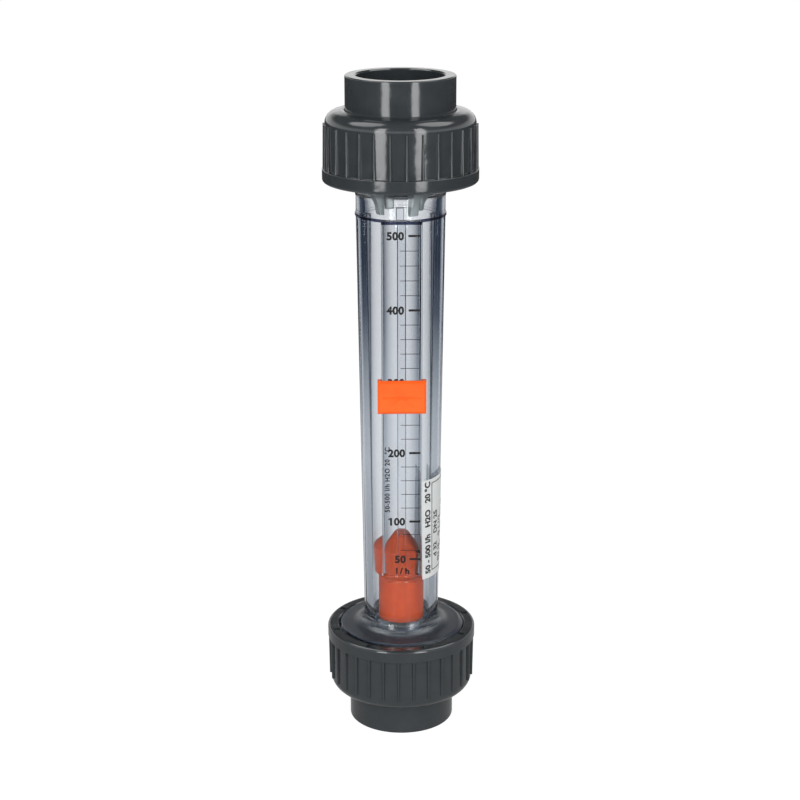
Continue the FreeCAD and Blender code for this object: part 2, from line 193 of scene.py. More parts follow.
def bump(tree, height, strength, distance, under=None):
    """An uneven surface, laid over another where one is given."""
    inputs = {"Height": height, "Strength": strength, "Distance": distance}
    if under is not None:
        inputs["Normal"] = under
    return add_node(tree, "Bump", inputs).outputs["Normal"]


def cover(tree, output, inputs):
    """Ends a material with one Principled surface."""
    body = add_node(tree, "BsdfPrincipled", inputs)
    tree.links.new(body.outputs[0], output.inputs["Surface"])


# %% [markdown]
# ## Table and studio
# The meter stands on a white table. The camera sees plain white. Light Path tells the rays apart, so the
# white costs no light on the object. Glossy mouldings mirror a table that ends some way off in a dark room.
# Rays that leave the clear tube see white only in a narrow wedge straight behind the meter. Those that its
# wall bends aside see the table fade into a blue dark, which draws the dark bands along the tube's edges,
# strong at the top and faint at the bottom, because a low ray meets the table close by.

# %% Table
TABLE_EDGE = (0.30, 0.62)       # where the mirrored table ends, in metres from the meter
NEAR_WHITE = 0.4                # what glossy mouldings mirror of the table close by
FAR_WHITE = 0.06                # and of the dark beyond its end
PLAIN_WHITE = (1.12, 1.12, 1.12, 1.0)   # the table for the camera
TABLE_PAINT = (0.9, 0.9, 0.9, 1.0)
TABLE_SIZE = 12.0
SHADOWLESS = 0.84               # share of the table's white that the object's shadow leaves alone
WEDGE = (0.10, 0.67)            # sideways run over depth where the white behind starts to fade and ends
BENT_SIGHT = [                  # distance from the meter over one metre, and what a bent ray sees there
    (0.10, (0.36, 0.38, 0.40)),
    (0.20, (0.46, 0.48, 0.51)),
    (0.30, (0.58, 0.61, 0.64)),
    (0.38, (0.50, 0.53, 0.57)),
    (0.50, (0.27, 0.30, 0.34)),
    (0.60, (0.10, 0.12, 0.16)),
    (0.75, (0.035, 0.05, 0.08)),
]


def wedge_white(tree, vector):
    """One straight behind the meter, fading to nothing at the sides of the wedge."""
    part = add_node(tree, "SeparateXYZ", {"Vector": vector}).outputs
    slope = calc(tree, "DIVIDE", part["X"], calc(tree, "MAXIMUM", part["Y"], 0.001))
    return remap(tree, calc(tree, "ABSOLUTE", slope), WEDGE, (1.0, 0.0), "SMOOTHSTEP")


table_white, tree, output = new_material("white_table")
ray = add_node(tree, "LightPath").outputs
place = add_node(tree, "TexCoord").outputs["Object"]
distance = add_node(tree, "VectorMath", {"Vector": place}, operation="LENGTH").outputs["Value"]
near = remap(tree, distance, TABLE_EDGE, (NEAR_WHITE, FAR_WHITE), "SMOOTHSTEP")
bent = add_node(tree, "ValToRGB", {0: distance})
stops = bent.color_ramp.elements
stops.remove(stops[1])
for i, (where, shade) in enumerate(BENT_SIGHT):
    stop = stops[0] if i == 0 else stops.new(where)
    stop.position = where
    stop.color = shade + (1.0,)
behind = blend(tree, wedge_white(tree, place), bent.outputs[0], WHITE)
mirror = blend(tree, ray["Is Transmission Ray"], near, behind)
mirrored = calc(tree, "MAXIMUM", ray["Is Glossy Ray"], ray["Is Transmission Ray"])
lit_share = calc(tree, "MAXIMUM", mirrored, calc(tree, "MULTIPLY", ray["Is Camera Ray"], SHADOWLESS))
glow = add_node(tree, "Emission", {"Color": blend(tree, ray["Is Camera Ray"], mirror, PLAIN_WHITE)})
paint = add_node(tree, "BsdfDiffuse", {"Color": TABLE_PAINT})
mix = add_node(tree, "MixShader", {0: lit_share, 1: paint.outputs[0], 2: glow.outputs[0]})
tree.links.new(mix.outputs[0], output.inputs["Surface"])

bpy.ops.mesh.primitive_plane_add(size=TABLE_SIZE, location=(0, 0, 0))
table = bpy.context.object
table.name = "table"
table.data.materials.append(table_white)

# %% [markdown]
# The room is a sky that darkens upwards, with a high softbox on either side that only glossy plastic
# mirrors. Clear plastic sees the same wedge of white as on the table, and the camera sees plain white.

# %% Studio round the table
SKY_AMBIENT = 0.55              # light on matt surfaces
SKY_HORIZON = 1.5               # what a flat glossy face mirrors just above the table
SKY_TOP = 0.16
SKY_FADE = (0.2, 0.42)          # height of the direction where the sky starts to darken and ends
ROOM_DARK = 0.05                # what clear plastic shows beside the wedge
SOFTBOX_WAY = (0.55, 0.0, 0.835)    # direction of the high softboxes, left and right
SOFTBOX_EDGE = (0.925, 0.96)    # cosine of the angle to that direction where a box starts and is full
SOFTBOX_GLOW = 4.5
CAMERA_WHITE = 1.35             # lifts the background's light grey to full white for the camera

world = bpy.data.worlds.new("studio")
world.use_nodes = True
bpy.context.scene.world = world
tree = world.node_tree
tree.nodes.clear()
ray = add_node(tree, "LightPath").outputs
direction = add_node(tree, "TexCoord").outputs["Generated"]
height = add_node(tree, "SeparateXYZ", {"Vector": direction}).outputs["Z"]
sky = remap(tree, height, SKY_FADE, (SKY_HORIZON, SKY_TOP), "SMOOTHSTEP")
behind = remap(tree, wedge_white(tree, direction), target=(ROOM_DARK, 1.0))
either_side = add_node(tree, "VectorMath", {0: direction}, operation="ABSOLUTE").outputs[0]
toward = add_node(tree, "VectorMath", {
    0: either_side, 1: SOFTBOX_WAY}, operation="DOT_PRODUCT").outputs["Value"]
softbox = remap(tree, toward, SOFTBOX_EDGE, (0.0, SOFTBOX_GLOW), "SMOOTHSTEP")
lit = add_node(tree, "Mix", {
    0: ray["Is Glossy Ray"], 2: SKY_AMBIENT, 3: calc(tree, "ADD", sky, softbox)}, data_type="FLOAT")
clear = add_node(tree, "Mix", {
    0: ray["Is Transmission Ray"], 2: lit.outputs[0], 3: behind}, data_type="FLOAT")
plain = calc(tree, "MULTIPLY", ray["Is Camera Ray"], CAMERA_WHITE)
background = add_node(tree, "Background", {
    "Strength": calc(tree, "MAXIMUM", plain, clear.outputs[0])})
add_node(tree, "OutputWorld", {"Surface": background.outputs[0]})

# %% [markdown]
# Two upright strip lights stand left and right of the camera, thirty degrees off, and reach down to the
# table. They give the two soft lines down every grey moulding. They are hidden from the camera.

# %% Strip lights
STRIP_DISTANCE = 1.0
STRIP_ANGLE_DEG = 30.0
STRIP_WIDTH = 0.27
STRIP_HEIGHT = 1.05
STRIP_POWER = 6.0

for side in (-1, 1):
    data = bpy.data.lights.new("strip_light", "AREA")
    data.shape = "RECTANGLE"
    data.size = STRIP_WIDTH
    data.size_y = STRIP_HEIGHT
    data.energy = STRIP_POWER
    strip = bpy.data.objects.new("strip_light", data)
    bpy.context.scene.collection.objects.link(strip)
    angle = turn + side * math.radians(STRIP_ANGLE_DEG)
    strip.location = (
        math.sin(angle) * STRIP_DISTANCE, -math.cos(angle) * STRIP_DISTANCE, STRIP_HEIGHT / 2)
    strip.rotation_euler = (math.radians(90), 0, angle)
    strip.visible_camera = False

# %% [markdown]
# ## Working by hand, in code
# Each piece starts from a primitive and is shaped in edit mode, as at the screen. Operators act on all that
# is selected, so every step first picks the vertices, edges or faces that it means, by their place.

# %% Helpers for modelling


def only(obj):
    """Makes obj the one selected and active object."""
    bpy.ops.object.select_all(action="DESELECT")
    obj.select_set(True)
    bpy.context.view_layer.objects.active = obj


def moved(x, y, z):
    """The move by a step in millimetres."""
    return Matrix.Translation((x * MM, y * MM, z * MM))


def turned(angle_deg, axis="Z"):
    """The turn about an axis through the origin."""
    return Matrix.Rotation(math.radians(angle_deg), 4, axis)


def edit_all(obj):
    """Opens obj alone in edit mode, with everything selected."""
    only(obj)
    bpy.ops.object.mode_set(mode="EDIT")
    bpy.ops.mesh.select_all(action="SELECT")


def close_edit(outwards=False):
    """Leaves edit mode, with all faces turned outwards where asked."""
    if outwards:
        bpy.ops.mesh.select_all(action="SELECT")
        bpy.ops.mesh.normals_make_consistent(inside=False)
    bpy.ops.object.mode_set(mode="OBJECT")


def pick(obj, kind, test):
    """In edit mode, selects the vertices, edges or faces (VERT, EDGE, FACE) for which test is true."""
    bpy.ops.object.mode_set(mode="EDIT")
    bpy.ops.mesh.select_mode(type=kind)
    bpy.ops.mesh.select_all(action="DESELECT")
    bpy.ops.object.mode_set(mode="OBJECT")
    items = {"VERT": obj.data.vertices, "EDGE": obj.data.edges, "FACE": obj.data.polygons}[kind]
    for item in items:
        item.select = test(item)
    bpy.ops.object.mode_set(mode="EDIT")


def apply_modifier(obj, kind, **settings):
    """Adds a modifier with its settings and applies it."""
    only(obj)
    modifier = obj.modifiers.new(kind.lower(), kind)
    for name, value in settings.items():
        setattr(modifier, name, value)
    bpy.ops.object.modifier_apply(modifier=modifier.name)


def combine(obj, other, operation):
    """Joins, cuts or intersects obj with other (UNION, DIFFERENCE, INTERSECT) and deletes other."""
    apply_modifier(obj, "BOOLEAN", operation=operation, object=other, solver="EXACT")
    bpy.data.objects.remove(other)


def place_mesh(obj, matrix):
    """Moves obj's mesh, so that the object itself stays at the origin."""
    obj.data.transform(matrix)
    obj.data.update()


def copy_of(obj, name):
    """A copy with its own mesh."""
    other = obj.copy()
    other.data = obj.data.copy()
    other.name = name
    bpy.context.scene.collection.objects.link(other)
    return other


def turned_over(obj, name):
    """A copy at the other end of the meter, turned over about mid-height."""
    other = copy_of(obj, name)
    middle = Vector((0, 0, MID_Z * MM))
    over = Matrix.Rotation(math.pi, 4, "X")
    place_mesh(other, Matrix.Translation(middle) @ over @ Matrix.Translation(-middle))
    return other


def joined(objects):
    """One object from several."""
    bpy.ops.object.select_all(action="DESELECT")
    for obj in objects:
        obj.select_set(True)
    bpy.context.view_layer.objects.active = objects[0]
    bpy.ops.object.join()
    return bpy.context.object


def block(centre, size):
    """A cube stretched to size about its centre."""
    bpy.ops.object.select_all(action="DESELECT")
    bpy.ops.mesh.primitive_cube_add(size=1.0, location=[c * MM for c in centre])
    obj = bpy.context.object
    obj.scale = [s * MM for s in size]
    bpy.ops.object.transform_apply(location=True, rotation=True, scale=True)
    return obj


def around(obj, count, first_deg):
    """Count copies of obj round the axis, made one object, in place of obj."""
    copies = []
    for i in range(count):
        copies.append(copy_of(obj, obj.name))
        place_mesh(copies[-1], turned(first_deg + 360 / count * i))
    bpy.data.objects.remove(obj)
    return joined(copies)


def smooth(obj, angle_deg=30):
    """Smooth shading up to an angle, with large faces kept flat by weighted normals."""
    only(obj)
    bpy.ops.object.shade_smooth_by_angle(angle=math.radians(angle_deg))
    apply_modifier(obj, "WEIGHTED_NORMAL", keep_sharp=True)
    return obj


# %% [markdown]
# ## Turned forms
# Most pieces are round, so they are drawn as a half-section and spun, as on a lathe. A plane is merged to
# one point, the point is extruded from corner to corner, and each corner that is round on the real piece is
# bevelled as a vertex. Spinning a drawn section keeps every radius and height exact.

# %% Draw a section and spin it
ROUND_STEPS = 5                 # edges in a rounded corner
SAME_PLACE = 1e-7               # points closer than this, in metres, are one


def upright(a, b):
    """Place of a section point in the XZ plane: radius and height."""
    return Vector((a, 0, b)) * MM


def level(a, b):
    """Place of a section point in the XY plane."""
    return Vector((a, b, 0)) * MM


def drawn(name, corners, place=upright, closed=True, steps=ROUND_STEPS):
    """A section as a chain of edges through corners (a, b) or (a, b, rounding)."""
    points = [place(c[0], c[1]) for c in corners]
    bpy.ops.object.select_all(action="DESELECT")
    bpy.ops.mesh.primitive_plane_add(size=MM, location=points[0])
    obj = bpy.context.object
    obj.name = name
    bpy.ops.object.transform_apply(location=True, rotation=True, scale=True)
    bpy.ops.object.mode_set(mode="EDIT")
    bpy.ops.mesh.select_mode(type="VERT")
    bpy.ops.mesh.select_all(action="SELECT")
    bpy.ops.mesh.merge(type="CENTER")
    path = points + points[:1] if closed else points
    for before, after in zip(path, path[1:]):
        bpy.ops.mesh.extrude_region_move(TRANSFORM_OT_translate={"value": after - before})
    if closed:
        bpy.ops.mesh.select_all(action="SELECT")
        bpy.ops.mesh.remove_doubles(threshold=SAME_PLACE)
    for i, corner in enumerate(corners):
        if len(corner) == 3:
            here = points[i]
            sides = points[i - 1] - here, points[(i + 1) % len(points)] - here
            run = corner[2] * MM / math.tan(sides[0].angle(sides[1]) / 2)
            pick(obj, "VERT", lambda v: (v.co - here).length < SAME_PLACE)
            bpy.ops.mesh.bevel(offset=run, offset_type="OFFSET", segments=steps, affect="VERTICES")
    bpy.ops.object.mode_set(mode="OBJECT")
    return obj


def spun(obj, steps):
    """Spins a drawn section about the axis, closes its seam and turns its faces outwards."""
    edit_all(obj)
    bpy.ops.mesh.spin(steps=steps, angle=FULL_TURN, center=(0, 0, 0), axis=(0, 0, 1))
    bpy.ops.mesh.select_all(action="SELECT")
    bpy.ops.mesh.remove_doubles(threshold=SAME_PLACE)
    close_edit(outwards=True)
    return obj


def extruded(obj, step):
    """Fills a drawn closed section and extrudes it by step, in metres."""
    edit_all(obj)
    bpy.ops.mesh.edge_face_add()
    bpy.ops.mesh.extrude_region_move(TRANSFORM_OT_translate={"value": step})
    close_edit(outwards=True)
    return obj


def helix(name, corners, turns, steps, closed):
    """A drawn section swept along a right-hand thread, each turn merged with the next."""
    obj = drawn(name, corners, closed=closed)
    apply_modifier(obj, "SCREW", axis="Z", angle=FULL_TURN, screw_offset=PITCH * MM, iterations=turns,
                   steps=steps, render_steps=steps)
    edit_all(obj)
    bpy.ops.mesh.remove_doubles(threshold=SAME_PLACE)
    close_edit()
    return obj


def cut_level(obj, z, keep_above):
    """Cuts obj at height z, closes the cut and drops the other side."""
    edit_all(obj)
    bpy.ops.mesh.bisect(plane_co=(0, 0, z * MM), plane_no=(0, 0, 1), use_fill=True,
                        clear_inner=keep_above, clear_outer=not keep_above)
    close_edit(outwards=True)


def report(obj):
    """Prints what a piece has become."""
    size = [round(d / MM, 1) for d in obj.dimensions]
    print(obj.name, len(obj.data.polygons), "faces,", size, "mm")
    return obj


# %% [markdown]
# ## Clear moulded PVC
# The tube is transparent rigid PVC, injection moulded. Its index of refraction is about 1.53, its skin is
# glossy, and in the thickness it is a cold smoke blue. That tint comes from the depth of material that
# light crosses, so it is a Volume Absorption: thin walls stay light and the solid flanges turn navy.
# Lamps could not reach the float through real refraction, so shadow rays pass by a Transparent shader.
# The thin ring at the top of the rail collects light along its whole round and shows as a navy line. That
# line is painted shade: the ring's outer faces, found by height and radius, are painted near-black navy.
# The foot of the tube, where the thick flange gathers the blue, is painted a deeper blue: its own blue
# plus painted shade.

# %% Material: clear PVC
CLEAR_IOR = 1.53
CLEAR_ROUGHNESS = 0.02
RIPPLE_MM = 14.0                # slow waves that the melt leaves along the skin
DEPTH_TINT = (0.2, 0.31, 0.45, 1.0)
DEPTH_DENSITY = 52.0            # for each metre of plastic
LAMP_TINT = (0.86, 0.88, 0.9, 1.0)
# painted shade: the ring's dark navy line, and at the foot a deeper blue over the flange's own blue
RING_PAINTED_SHADE = (0.008, 0.010, 0.03, 1.0)
FOOT_BLUE_AND_PAINTED_SHADE = (0.27, 0.35, 0.50, 1.0)
FOOT_FADE = (FLANGE_Z - 1.0, FLANGE_Z + 7.0)
FOOT_CLARITY = 0.93             # the rest of the light is scattered in the thick foot
FOOT_ROUGHNESS = 0.34
ROUGH_FADE = (0.25, 0.6)        # the part of that fade in which the skin turns clear

clear_pvc, tree, output = new_material("clear_moulded_pvc")
place = add_node(tree, "TexCoord").outputs["Object"]
along = add_node(tree, "Mapping", {"Vector": place, "Scale": (1.0, 1.0, 0.12)}).outputs["Vector"]
wave = bump(tree, noise(tree, 1 / (RIPPLE_MM * MM), 1.0, along), 0.12, 0.0006)
part = add_node(tree, "SeparateXYZ", {"Vector": place}).outputs
flat = add_node(tree, "CombineXYZ", {"X": part["X"], "Y": part["Y"]}).outputs[0]
radius = add_node(tree, "VectorMath", {0: flat}, operation="LENGTH").outputs["Value"]
# mask for the ring's painted shade: its outer faces at its height, front faces only
outside = calc(tree, "GREATER_THAN", radius, (tube_r(RING_Z) + 0.02) * MM)
at_ring = calc(tree, "COMPARE", part["Z"], (RING_Z + (RING_HEIGHT - RING_SKIRT) / 2) * MM,
               ((RING_HEIGHT + RING_SKIRT) / 2 - 0.01) * MM)
backfacing = add_node(tree, "NewGeometry").outputs["Backfacing"]
ring_shade_mask = calc(tree, "SUBTRACT", calc(tree, "MULTIPLY", outside, at_ring), backfacing)
above_foot = remap(tree, part["Z"], (FOOT_FADE[0] * MM, FOOT_FADE[1] * MM))
below_foot = calc(tree, "LESS_THAN", part["Z"], (FLANGE_Z - FLANGE_CHAMFER - 0.1) * MM)
off_foot = calc(tree, "MAXIMUM", above_foot, below_foot)
# Base Color carries the ring's painted shade and the foot's blue with painted shade
body = add_node(tree, "BsdfPrincipled", {
    "Base Color": blend(tree, ring_shade_mask, blend(tree, off_foot, FOOT_BLUE_AND_PAINTED_SHADE, WHITE), RING_PAINTED_SHADE),
    "Roughness": remap(tree, off_foot, ROUGH_FADE, (FOOT_ROUGHNESS, CLEAR_ROUGHNESS)),
    "Transmission Weight": remap(tree, off_foot, target=(FOOT_CLARITY, 1.0)),
    "IOR": CLEAR_IOR, "Normal": wave})
shadow = add_node(tree, "LightPath").outputs["Is Shadow Ray"]
lamp_light = add_node(tree, "BsdfTransparent", {"Color": LAMP_TINT})
mix = add_node(tree, "MixShader", {0: shadow, 1: body.outputs[0], 2: lamp_light.outputs[0]})
depth = add_node(tree, "VolumeAbsorption", {"Color": DEPTH_TINT, "Density": DEPTH_DENSITY})
tree.links.new(mix.outputs[0], output.inputs["Surface"])
tree.links.new(depth.outputs[0], output.inputs["Volume"])

# %% [markdown]
# ## Grey moulded PVC
# The nuts and connectors are iron-grey rigid PVC from a polished mould. The skin is smooth and a little
# glossy, with slow waves where the melt shrank and a faint grain that breaks the edge of each highlight.

# %% Material: grey PVC
GREY_GRAIN_MM = 0.35            # spark-eroded grain, drawn about ten times coarser so that it shows
GREY_WAVE_MM = 6.0

grey_pvc, tree, output = new_material("grey_moulded_pvc")
grain = noise(tree, 1 / (GREY_GRAIN_MM * MM), 2.0)
slow = noise(tree, 1 / (GREY_WAVE_MM * MM), 2.0)
cover(tree, output, {
    "Base Color": blend(tree, slow, linear("2d3133"), linear("373b3e")),
    "Roughness": remap(tree, slow, (0.3, 0.7), (0.10, 0.16)), "IOR": 1.53,
    "Normal": bump(tree, grain, 0.10, 0.00004, bump(tree, slow, 0.35, 0.0003))})

# %% [markdown]
# ## Orange plastics
# The float is a matt orange moulding with some colour variation. The slider is a bright, glossy orange
# plastic with thin edges, which glow a little because light enters them.

# %% Materials: float and slider


def clouded(name, scale, tones, relief, inputs):
    """A plastic that drifts between two tones, with an uneven skin of a strength and a depth."""
    material, tree, output = new_material(name)
    cloud = noise(tree, scale, 3.0)
    inputs = {"Base Color": blend(tree, cloud, linear(tones[0]), linear(tones[1])), **inputs}
    if relief:
        inputs["Normal"] = bump(tree, cloud, *relief)
    cover(tree, output, inputs)
    return material


float_orange = clouded("moulded_float_plastic", 260.0, ("d24412", "e2581a"), (0.15, 0.00005), {
    "Roughness": 0.38, "IOR": 1.49})
slider_orange = clouded("moulded_slider_plastic", 180.0, ("fa5510", "ff6a1c"), (0.12, 0.00006), {
    "Roughness": 0.3, "IOR": 1.5, "Subsurface Weight": 0.08,
    "Subsurface Radius": (0.0015, 0.0006, 0.0002), "Subsurface Scale": 1.0})

# %% [markdown]
# ## Inserts, seals, sticker and ink
# The float stops are a pale grey-green moulding, milky, so that they take on what lies behind. The O-rings
# are black rubber with a dry, fine skin. The sticker is white plastic film, and the scale is screen printed
# with a thin, dense black ink.

# %% Materials: the small pieces
stop_plastic = clouded("pale_insert_plastic", 220.0, ("c6ccc8", "d4d9d6"), None, {
    "Roughness": 0.35, "IOR": 1.42, "Transmission Weight": 0.6})

ring_rubber, tree, output = new_material("black_seal_rubber")
dust = noise(tree, 3000.0, 3.0)
cover(tree, output, {
    "Base Color": linear("1b1b1c"), "Roughness": remap(tree, dust, target=(0.45, 0.75)), "IOR": 1.52,
    "Normal": bump(tree, dust, 0.3, 0.00003)})

sticker_film = clouded("white_sticker_film", 420.0, ("d9dddd", "e6e9e7"), (0.2, 0.00005), {
    "Roughness": 0.42, "IOR": 1.46, "Subsurface Weight": 0.5,
    "Subsurface Radius": (0.0008, 0.0008, 0.0008), "Subsurface Scale": 1.0})

scale_ink, tree, output = new_material("screen_printed_ink")
cover(tree, output, {
    "Base Color": linear("0c0c0e"), "IOR": 1.5,
    "Roughness": remap(tree, noise(tree, 2500.0, 2.0), target=(0.35, 0.6))})
print("materials:", [m.name for m in bpy.data.materials])

# %% [markdown]
# ## Measuring tube
# One clear moulding: a long cone with its bore, a threaded flange at each end, seats for the stops and
# grooves for the O-rings, a thin ring near the top, four guide ribs and the scale rail. Glass must be one
# closed skin, because a surface inside the wall would bend light a second time. So each form is made by
# itself and united with the body. The spun body comes first.

# %% Tube: spun body
TUBE_STEPS = 224
FLANGE_BODY_R = THREAD_ROOT_R - 0.02
FLANGE_FILLET = 5.0
SEAT_DEPTH = 12.0
LOWER_SEAT_R = 13.6
SEAT_LEDGE = 1.2
RING_PROUD = 0.35
RING_BEVEL = 0.08               # height of the slopes above and below the ring's edge
GROOVE_R = (15.59, 19.96)
GROOVE_DEPTH = 2.824
UPPER_FACE_Z = TOTAL_Z - TUBE_Z
LOWER_SEAT_Z = TUBE_Z + SEAT_DEPTH
UPPER_SEAT_Z = UPPER_FACE_Z - SEAT_DEPTH
UPPER_SEAT_R = bore_r(UPPER_SEAT_Z) + SEAT_LEDGE
ring_r = tube_r(RING_Z)

tube = spun(drawn("measuring_tube_clear", [
    (LOWER_SEAT_R, TUBE_Z, 0.2),
    (GROOVE_R[0], TUBE_Z, 0.15),
    (GROOVE_R[0], TUBE_Z + GROOVE_DEPTH, 0.3),
    (GROOVE_R[1], TUBE_Z + GROOVE_DEPTH, 0.3),
    (GROOVE_R[1], TUBE_Z, 0.15),
    (FLANGE_BODY_R, TUBE_Z, 0.1),
    (FLANGE_BODY_R, FLANGE_Z, 0.1),
    (tube_r(FLANGE_Z), FLANGE_Z, FLANGE_FILLET),
    (ring_r, RING_Z - RING_SKIRT, 0.05),
    (ring_r + RING_PROUD, RING_Z - RING_SKIRT + RING_BEVEL, 0.1),
    (ring_r + RING_PROUD, RING_Z + RING_HEIGHT - RING_BEVEL, 0.1),
    (ring_r, RING_Z + RING_HEIGHT, 0.05),
    (ring_r, UPPER_FLANGE_Z, FLANGE_FILLET),
    (FLANGE_BODY_R, UPPER_FLANGE_Z, 0.1),
    (FLANGE_BODY_R, UPPER_FACE_Z, 0.1),
    (GROOVE_R[1], UPPER_FACE_Z, 0.15),
    (GROOVE_R[1], UPPER_FACE_Z - GROOVE_DEPTH, 0.3),
    (GROOVE_R[0], UPPER_FACE_Z - GROOVE_DEPTH, 0.3),
    (GROOVE_R[0], UPPER_FACE_Z, 0.15),
    (UPPER_SEAT_R, UPPER_FACE_Z, 0.2),
    (UPPER_SEAT_R, UPPER_SEAT_Z, 0.2),
    (bore_r(UPPER_SEAT_Z), UPPER_SEAT_Z, 0.15),
    (bore_r(LOWER_SEAT_Z), LOWER_SEAT_Z, 0.15),
    (LOWER_SEAT_R, LOWER_SEAT_Z, 0.2),
], steps=4), TUBE_STEPS)
report(tube)

# %% [markdown]
# The thread has a 55 degree profile. One pitch of it is drawn and swept along the helix by a Screw modifier,
# cut level at both ends, and trimmed to a sleeve whose ends are chamfered, as a thread starts.

# %% Tube: threads
FLANK_SLOPE = math.tan(math.radians(27.5))
FLANK_RUN = (THREAD_CREST_R - THREAD_ROOT_R) * FLANK_SLOPE
FLAT = PITCH / 2 - FLANK_RUN    # width of the crest and of the root
THREAD_STEPS = 112
THREAD_TURNS = 10               # more than the flange's height, cut off afterwards
SLEEVE_R = 21.6

thread = helix("flange_thread", [
    (THREAD_ROOT_R, TUBE_Z - 2 * PITCH),
    (THREAD_ROOT_R, TUBE_Z - 2 * PITCH + FLAT),
    (THREAD_CREST_R, TUBE_Z - 2 * PITCH + FLAT + FLANK_RUN),
    (THREAD_CREST_R, TUBE_Z - 2 * PITCH + 2 * FLAT + FLANK_RUN),
    (THREAD_ROOT_R, TUBE_Z - PITCH),
], THREAD_TURNS, THREAD_STEPS, False)
cut_level(thread, TUBE_Z - SPARE, True)
cut_level(thread, FLANGE_Z + SPARE, False)
chamfer_r = THREAD_CREST_R - FLANGE_CHAMFER
sleeve = spun(drawn("sleeve", [
    (SLEEVE_R, TUBE_Z + INSET),
    (chamfer_r, TUBE_Z + INSET),
    (THREAD_CREST_R + SPARE, TUBE_Z + FLANGE_CHAMFER + SPARE),
    (THREAD_CREST_R + SPARE, FLANGE_Z - FLANGE_CHAMFER - SPARE),
    (chamfer_r, FLANGE_Z - INSET),
    (SLEEVE_R, FLANGE_Z - INSET),
]), TUBE_STEPS)
combine(sleeve, thread, "INTERSECT")
upper_sleeve = turned_over(sleeve, "upper_sleeve")
combine(tube, sleeve, "UNION")
combine(tube, upper_sleeve, "UNION")
report(tube)

# %% [markdown]
# The guide ribs keep one radius while the bore opens, so they look like wedges. The rail is a T in section,
# on a narrower foot, and it leans forward by the tube's taper. So each part of it is drawn level and
# extruded along the lean.

# %% Tube: guide ribs and rail
GUIDE_WIDTH = 3.2
GUIDE_TOP = 199.8
GUIDE_ROOT = 0.4                # how far a rib reaches into the wall at its top
GUIDE_EDGE = 0.6
RAIL_WIDTH = 14.8
RAIL_PROUD = 2.4
RAIL_LIP = 0.9
RAIL_UNDERCUT = 0.4
RAIL_ROOT = 2.3
RAIL_Z = FLANGE_Z + 22.2
RAIL_LIP_Z = RAIL_Z + 3.3
RAIL_TOP = RING_Z + RING_HEIGHT
RAIL_FOOT = 5.3                 # half the foot's width


def leaning(low, high):
    """The step from height low to height high along the tube's cone, in metres."""
    return Vector((0, -TAPER * (high - low), high - low)) * MM


def rail_front(z):
    """Y of the rail's front face at height z, in millimetres."""
    return -(tube_r(z) + RAIL_PROUD)


def rail_strip(name, half, front, back, low, high, rounding):
    """Leaning strip of the rail: half its width, its front and back outside the cone, and its ends."""
    surface = tube_r(low)
    obj = drawn(name, [
        (-half, -surface - front, rounding), (half, -surface - front, rounding),
        (half, -surface - back, rounding / 2), (-half, -surface - back, rounding / 2)], place=level, steps=3)
    place_mesh(obj, moved(0, 0, low))
    return extruded(obj, leaning(low, high))


half = RAIL_WIDTH / 2
behind = RAIL_PROUD - RAIL_LIP
lip = rail_strip("rail_lip", half, RAIL_PROUD, behind, RAIL_LIP_Z, RAIL_TOP, 0.25)
neck = rail_strip("rail_neck", half - RAIL_UNDERCUT, behind + OVERLAP, -RAIL_ROOT,
                  RAIL_LIP_Z + INSET, RAIL_TOP - INSET, 0.1)
foot = rail_strip("rail_foot", RAIL_FOOT, behind - INSET, -RAIL_ROOT, RAIL_Z, RAIL_LIP_Z + OVERLAP, 0.3)
combine(lip, neck, "UNION")
combine(lip, foot, "UNION")
combine(tube, lip, "UNION")

for turn_deg in (-90, 0, 90, 180):
    depth = bore_r(GUIDE_TOP) + GUIDE_ROOT - GUIDE_R
    rib = drawn("guide_rib", [
        (GUIDE_R, -GUIDE_WIDTH / 2, GUIDE_EDGE), (GUIDE_R + depth, -GUIDE_WIDTH / 2),
        (GUIDE_R + depth, GUIDE_WIDTH / 2), (GUIDE_R, GUIDE_WIDTH / 2, GUIDE_EDGE)], place=level, steps=4)
    place_mesh(rib, moved(0, 0, LOWER_SEAT_Z + OVERLAP))
    extruded(rib, Vector((0, 0, (GUIDE_TOP - LOWER_SEAT_Z - OVERLAP) * MM)))
    place_mesh(rib, turned(turn_deg))
    combine(tube, rib, "UNION")
smooth(report(tube))

# %% [markdown]
# ## Socket connectors
# Each is a short turned form: the socket for the pipe, the stop inside it, and the collar that the nut pulls
# on. The upper one is the lower one turned over.

# %% Connectors
ROUND_PIECE_STEPS = 160
PIPE_R = 16.0
CONNECTOR_R = 20.0
COLLAR_R = 22.4
COLLAR_Z = TUBE_Z - 9.0
SOCKET_DEPTH = 22.0
WATERWAY_R = 13.0
LEAD_IN = 0.5                   # chamfer at a mouth

lower_connector = spun(drawn("lower_connector_moulded", [
    (PIPE_R + LEAD_IN, 0, 0.12),
    (CONNECTOR_R, 0, 0.5),
    (CONNECTOR_R, COLLAR_Z, 0.3),
    (COLLAR_R, COLLAR_Z, 0.6),
    (COLLAR_R, TUBE_Z, 0.6),
    (WATERWAY_R, TUBE_Z, 0.3),
    (WATERWAY_R, SOCKET_DEPTH, 0.3),
    (PIPE_R, SOCKET_DEPTH, 0.3),
    (PIPE_R, LEAD_IN, 0.15),
]), ROUND_PIECE_STEPS)
smooth(report(lower_connector))
upper_connector = turned_over(lower_connector, "upper_connector_moulded")

# %% [markdown]
# ## Union nuts
# A nut is spun first, with its coned shoulder and the plain band at its mouth. One grip ridge is shaped from
# a cube: its outer face is narrowed, the edges are rounded, and the end by the shoulder is narrowed and
# drawn in. Thirty copies are united with the nut. The thread inside is the tube's with a little play.

